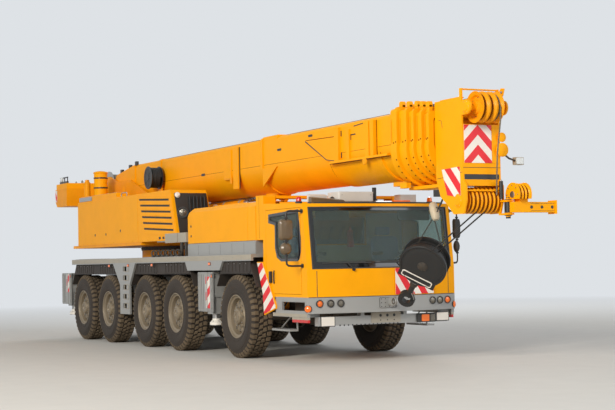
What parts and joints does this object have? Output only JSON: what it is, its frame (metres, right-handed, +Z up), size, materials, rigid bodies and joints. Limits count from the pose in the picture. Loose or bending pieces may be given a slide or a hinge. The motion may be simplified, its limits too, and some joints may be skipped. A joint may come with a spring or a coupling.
{
  "type": "five-axle mobile crane",
  "caption": "All-terrain mobile crane in travel position: wheeled carrier with outriggers, slewing superstructure, telescopic boom, hook block and folded nose.",
  "frame": {"origin": "middle of the bounding box in plan, on the ground under the wheels", "axes": "+X forward towards the driver's cab and boom head, +Y to the vehicle's left, +Z up"},
  "size_m": [16.32, 3.5, 4.0179],
  "materials": {
    "black_paint": "satin",
    "black_plastic": "matte",
    "chassis_grey": "satin",
    "chrome_rod": "polished",
    "glass": "polished",
    "lamp": "gloss",
    "tyre": "matte",
    "yellow_paint": "gloss"
  },
  "bodies": {
    "carrier": {"carrier_frame": "chassis_grey", "axles_and_shafts": "chassis_grey", "deck": "chassis_grey", "side_panels": "chassis_grey", "mudguards": "black_plastic", "engine_cover": "yellow_paint", "cab_shell": "yellow_paint", "cab_glass": "glass", "cab_fittings": "black_plastic", "bumper": "chassis_grey", "lamps": "lamp"},
    "knuckle_1_left": {"knuckle_1_left": "chassis_grey"},
    "wheel_1_left": {"wheel_1_left": "tyre"},
    "knuckle_1_right": {"knuckle_1_right": "chassis_grey"},
    "wheel_1_right": {"wheel_1_right": "tyre"},
    "knuckle_2_left": {"knuckle_2_left": "chassis_grey"},
    "wheel_2_left": {"wheel_2_left": "tyre"},
    "knuckle_2_right": {"knuckle_2_right": "chassis_grey"},
    "wheel_2_right": {"wheel_2_right": "tyre"},
    "knuckle_3_left": {"knuckle_3_left": "chassis_grey"},
    "wheel_3_left": {"wheel_3_left": "tyre"},
    "knuckle_3_right": {"knuckle_3_right": "chassis_grey"},
    "wheel_3_right": {"wheel_3_right": "tyre"},
    "knuckle_4_left": {"knuckle_4_left": "chassis_grey"},
    "wheel_4_left": {"wheel_4_left": "tyre"},
    "knuckle_4_right": {"knuckle_4_right": "chassis_grey"},
    "wheel_4_right": {"wheel_4_right": "tyre"},
    "knuckle_5_left": {"knuckle_5_left": "chassis_grey"},
    "wheel_5_left": {"wheel_5_left": "tyre"},
    "knuckle_5_right": {"knuckle_5_right": "chassis_grey"},
    "wheel_5_right": {"wheel_5_right": "tyre"},
    "cab_door_left": {"cab_door_left": "yellow_paint"},
    "cab_door_right": {"cab_door_right": "yellow_paint"},
    "outrigger_beam_front_left": {"outrigger_beam_front_left": "chassis_grey"},
    "outrigger_leg_front_left": {"outrigger_leg_front_left": "chrome_rod"},
    "outrigger_beam_front_right": {"outrigger_beam_front_right": "chassis_grey"},
    "outrigger_leg_front_right": {"outrigger_leg_front_right": "chrome_rod"},
    "outrigger_beam_rear_left": {"outrigger_beam_rear_left": "chassis_grey"},
    "outrigger_leg_rear_left": {"outrigger_leg_rear_left": "chrome_rod"},
    "outrigger_beam_rear_right": {"outrigger_beam_rear_right": "chassis_grey"},
    "outrigger_leg_rear_right": {"outrigger_leg_rear_right": "chrome_rod"},
    "superstructure": {"turntable": "yellow_paint", "side_housings": "yellow_paint", "hose_reel": "black_paint"},
    "winch_drum": {"winch_drum": "yellow_paint"},
    "crane_cab": {"crane_cab": "yellow_paint", "crane_cab_glass": "glass"},
    "crane_cab_door": {"crane_cab_door": "glass"},
    "boom_base": {"boom_base": "yellow_paint"},
    "boom_section_1": {"boom_section_1": "yellow_paint"},
    "boom_section_2": {"boom_section_2": "yellow_paint"},
    "boom_section_3": {"boom_section_3": "yellow_paint"},
    "boom_section_4": {"boom_section_4": "yellow_paint"},
    "boom_section_5": {"boom_section_5": "yellow_paint"},
    "luff_barrel": {"luff_barrel": "yellow_paint"},
    "luff_rod": {"luff_rod": "chrome_rod"},
    "upper_sheaves": {"upper_sheaves": "yellow_paint"},
    "lower_sheaves": {"lower_sheaves": "yellow_paint"},
    "boom_nose": {"boom_nose": "yellow_paint"},
    "hook_block": {"hook_block": "black_paint"}
  },
  "joints": [
    {"name": "steer_1_left", "type": "hinge", "parent": "carrier", "child": "knuckle_1_left", "pos_m": [2.44, 0.985, 0.705], "axis": [0, 0, 1], "range_deg": [-30, 30]},
    {"name": "spin_1_left", "type": "hinge", "parent": "knuckle_1_left", "child": "wheel_1_left", "pos_m": [2.44, 1.29, 0.705], "axis": [0, 1, 0], "continuous": true},
    {"name": "steer_1_right", "type": "hinge", "parent": "carrier", "child": "knuckle_1_right", "pos_m": [2.44, -0.985, 0.705], "axis": [0, 0, 1], "range_deg": [-30, 30]},
    {"name": "spin_1_right", "type": "hinge", "parent": "knuckle_1_right", "child": "wheel_1_right", "pos_m": [2.44, -1.29, 0.705], "axis": [0, 1, 0], "continuous": true},
    {"name": "steer_2_left", "type": "hinge", "parent": "carrier", "child": "knuckle_2_left", "pos_m": [-0.31, 0.985, 0.705], "axis": [0, 0, 1], "range_deg": [-20, 20]},
    {"name": "spin_2_left", "type": "hinge", "parent": "knuckle_2_left", "child": "wheel_2_left", "pos_m": [-0.31, 1.29, 0.705], "axis": [0, 1, 0], "continuous": true},
    {"name": "steer_2_right", "type": "hinge", "parent": "carrier", "child": "knuckle_2_right", "pos_m": [-0.31, -0.985, 0.705], "axis": [0, 0, 1], "range_deg": [-20, 20]},
    {"name": "spin_2_right", "type": "hinge", "parent": "knuckle_2_right", "child": "wheel_2_right", "pos_m": [-0.31, -1.29, 0.705], "axis": [0, 1, 0], "continuous": true},
    {"name": "steer_3_left", "type": "hinge", "parent": "carrier", "child": "knuckle_3_left", "pos_m": [-1.96, 0.985, 0.705], "axis": [0, 0, 1], "range_deg": [-6, 6]},
    {"name": "spin_3_left", "type": "hinge", "parent": "knuckle_3_left", "child": "wheel_3_left", "pos_m": [-1.96, 1.29, 0.705], "axis": [0, 1, 0], "continuous": true},
    {"name": "steer_3_right", "type": "hinge", "parent": "carrier", "child": "knuckle_3_right", "pos_m": [-1.96, -0.985, 0.705], "axis": [0, 0, 1], "range_deg": [-6, 6]},
    {"name": "spin_3_right", "type": "hinge", "parent": "knuckle_3_right", "child": "wheel_3_right", "pos_m": [-1.96, -1.29, 0.705], "axis": [0, 1, 0], "continuous": true},
    {"name": "steer_4_left", "type": "hinge", "parent": "carrier", "child": "knuckle_4_left", "pos_m": [-4.11, 0.985, 0.705], "axis": [0, 0, 1], "range_deg": [-10, 10]},
    {"name": "spin_4_left", "type": "hinge", "parent": "knuckle_4_left", "child": "wheel_4_left", "pos_m": [-4.11, 1.29, 0.705], "axis": [0, 1, 0], "continuous": true},
    {"name": "steer_4_right", "type": "hinge", "parent": "carrier", "child": "knuckle_4_right", "pos_m": [-4.11, -0.985, 0.705], "axis": [0, 0, 1], "range_deg": [-10, 10]},
    {"name": "spin_4_right", "type": "hinge", "parent": "knuckle_4_right", "child": "wheel_4_right", "pos_m": [-4.11, -1.29, 0.705], "axis": [0, 1, 0], "continuous": true},
    {"name": "steer_5_left", "type": "hinge", "parent": "carrier", "child": "knuckle_5_left", "pos_m": [-5.76, 0.985, 0.705], "axis": [0, 0, 1], "range_deg": [-18, 18]},
    {"name": "spin_5_left", "type": "hinge", "parent": "knuckle_5_left", "child": "wheel_5_left", "pos_m": [-5.76, 1.29, 0.705], "axis": [0, 1, 0], "continuous": true},
    {"name": "steer_5_right", "type": "hinge", "parent": "carrier", "child": "knuckle_5_right", "pos_m": [-5.76, -0.985, 0.705], "axis": [0, 0, 1], "range_deg": [-18, 18]},
    {"name": "spin_5_right", "type": "hinge", "parent": "knuckle_5_right", "child": "wheel_5_right", "pos_m": [-5.76, -1.29, 0.705], "axis": [0, 1, 0], "continuous": true},
    {"name": "cab_door_left_hinge", "type": "hinge", "parent": "carrier", "child": "cab_door_left", "pos_m": [4.62, 1.327, 1.8], "axis": [0, 0, -1], "range_deg": [0, 70]},
    {"name": "cab_door_right_hinge", "type": "hinge", "parent": "carrier", "child": "cab_door_right", "pos_m": [4.62, -1.327, 1.8], "axis": [0, 0, 1], "range_deg": [0, 70]},
    {"name": "extend_front_left", "type": "slide", "parent": "carrier", "child": "outrigger_beam_front_left", "axis": [0, 1, 0], "range_m": [0, 2.2]},
    {"name": "lower_front_left", "type": "slide", "parent": "outrigger_beam_front_left", "child": "outrigger_leg_front_left", "axis": [0, 0, -1], "range_m": [0, 0.56]},
    {"name": "extend_front_right", "type": "slide", "parent": "carrier", "child": "outrigger_beam_front_right", "axis": [0, -1, 0], "range_m": [0, 2.2]},
    {"name": "lower_front_right", "type": "slide", "parent": "outrigger_beam_front_right", "child": "outrigger_leg_front_right", "axis": [0, 0, -1], "range_m": [0, 0.56]},
    {"name": "extend_rear_left", "type": "slide", "parent": "carrier", "child": "outrigger_beam_rear_left", "axis": [0, 1, 0], "range_m": [0, 2.2]},
    {"name": "lower_rear_left", "type": "slide", "parent": "outrigger_beam_rear_left", "child": "outrigger_leg_rear_left", "axis": [0, 0, -1], "range_m": [0, 0.56]},
    {"name": "extend_rear_right", "type": "slide", "parent": "carrier", "child": "outrigger_beam_rear_right", "axis": [0, -1, 0], "range_m": [0, 2.2]},
    {"name": "lower_rear_right", "type": "slide", "parent": "outrigger_beam_rear_right", "child": "outrigger_leg_rear_right", "axis": [0, 0, -1], "range_m": [0, 0.56]},
    {"name": "slew", "type": "hinge", "parent": "carrier", "child": "superstructure", "pos_m": [-3.66, 0, 2.07], "axis": [0, 0, 1], "continuous": true},
    {"name": "winch_turn", "type": "hinge", "parent": "superstructure", "child": "winch_drum", "pos_m": [-6.79, 0, 3.48], "axis": [0, 1, 0], "continuous": true},
    {"name": "crane_cab_tilt", "type": "hinge", "parent": "superstructure", "child": "crane_cab", "pos_m": [-3.53, 1.025, 2.15], "axis": [0, -1, 0], "range_deg": [0, 20]},
    {"name": "crane_cab_door_slide", "type": "slide", "parent": "crane_cab", "child": "crane_cab_door", "axis": [-1, 0, 0], "range_m": [0, 0.6]},
    {"name": "luff", "type": "hinge", "parent": "superstructure", "child": "boom_base", "pos_m": [-5.66, 0, 3.3], "axis": [0, -1, 0], "range_deg": [0, 82]},
    {"name": "telescope_1", "type": "slide", "parent": "boom_base", "child": "boom_section_1", "axis": [1, 0, 0], "range_m": [0, 9.3]},
    {"name": "telescope_2", "type": "slide", "parent": "boom_section_1", "child": "boom_section_2", "axis": [1, 0, 0], "range_m": [0, 9.3]},
    {"name": "telescope_3", "type": "slide", "parent": "boom_section_2", "child": "boom_section_3", "axis": [1, 0, 0], "range_m": [0, 9.3]},
    {"name": "telescope_4", "type": "slide", "parent": "boom_section_3", "child": "boom_section_4", "axis": [1, 0, 0], "range_m": [0, 9.3]},
    {"name": "telescope_5", "type": "slide", "parent": "boom_section_4", "child": "boom_section_5", "axis": [1, 0, 0], "range_m": [0, 9.3]},
    {"name": "luff_barrel_turn", "type": "hinge", "parent": "superstructure", "child": "luff_barrel", "pos_m": [-3.28, 0, 2.69], "axis": [0, -1, 0], "range_deg": [0, 96.91]},
    {"name": "luff_rod_slide", "type": "slide", "parent": "luff_barrel", "child": "luff_rod", "axis": [0.9999, 0, 0.0127], "range_m": [0, 2.9232]},
    {"name": "upper_sheaves_turn", "type": "hinge", "parent": "boom_section_5", "child": "upper_sheaves", "pos_m": [7.87, 0, 3.74], "axis": [0, 1, 0], "continuous": true},
    {"name": "lower_sheaves_turn", "type": "hinge", "parent": "boom_section_5", "child": "lower_sheaves", "pos_m": [7.62, 0, 2.43], "axis": [0, 1, 0], "continuous": true},
    {"name": "nose_swing", "type": "hinge", "parent": "boom_section_5", "child": "boom_nose", "pos_m": [7.9, 0.33, 2.4], "axis": [0, 0, -1], "range_deg": [0, 90]},
    {"name": "hook_swing", "type": "hinge", "parent": "boom_section_5", "child": "hook_block", "pos_m": [7.62, 0, 2.43], "axis": [0, 1, 0], "range_deg": [0, 23]}
  ],
  "couplings": [
    {"joint": "steer_1_right", "follows": "steer_1_left", "ratio": 1},
    {"joint": "steer_2_left", "follows": "steer_1_left", "ratio": 0.66667},
    {"joint": "steer_2_right", "follows": "steer_1_left", "ratio": 0.66667},
    {"joint": "steer_3_left", "follows": "steer_5_left", "ratio": 0.33333},
    {"joint": "steer_3_right", "follows": "steer_5_left", "ratio": 0.33333},
    {"joint": "steer_4_left", "follows": "steer_5_left", "ratio": 0.55556},
    {"joint": "steer_4_right", "follows": "steer_5_left", "ratio": 0.55556},
    {"joint": "steer_5_right", "follows": "steer_5_left", "ratio": 1},
    {"joint": "luff_barrel_turn", "follows": "luff", "ratio": 1.1757},
    {"joint": "luff_rod_slide", "follows": "luff", "m_per_rad": 2.0286},
    {"joint": "hook_swing", "follows": "luff", "ratio": 0.27439}
  ]
}
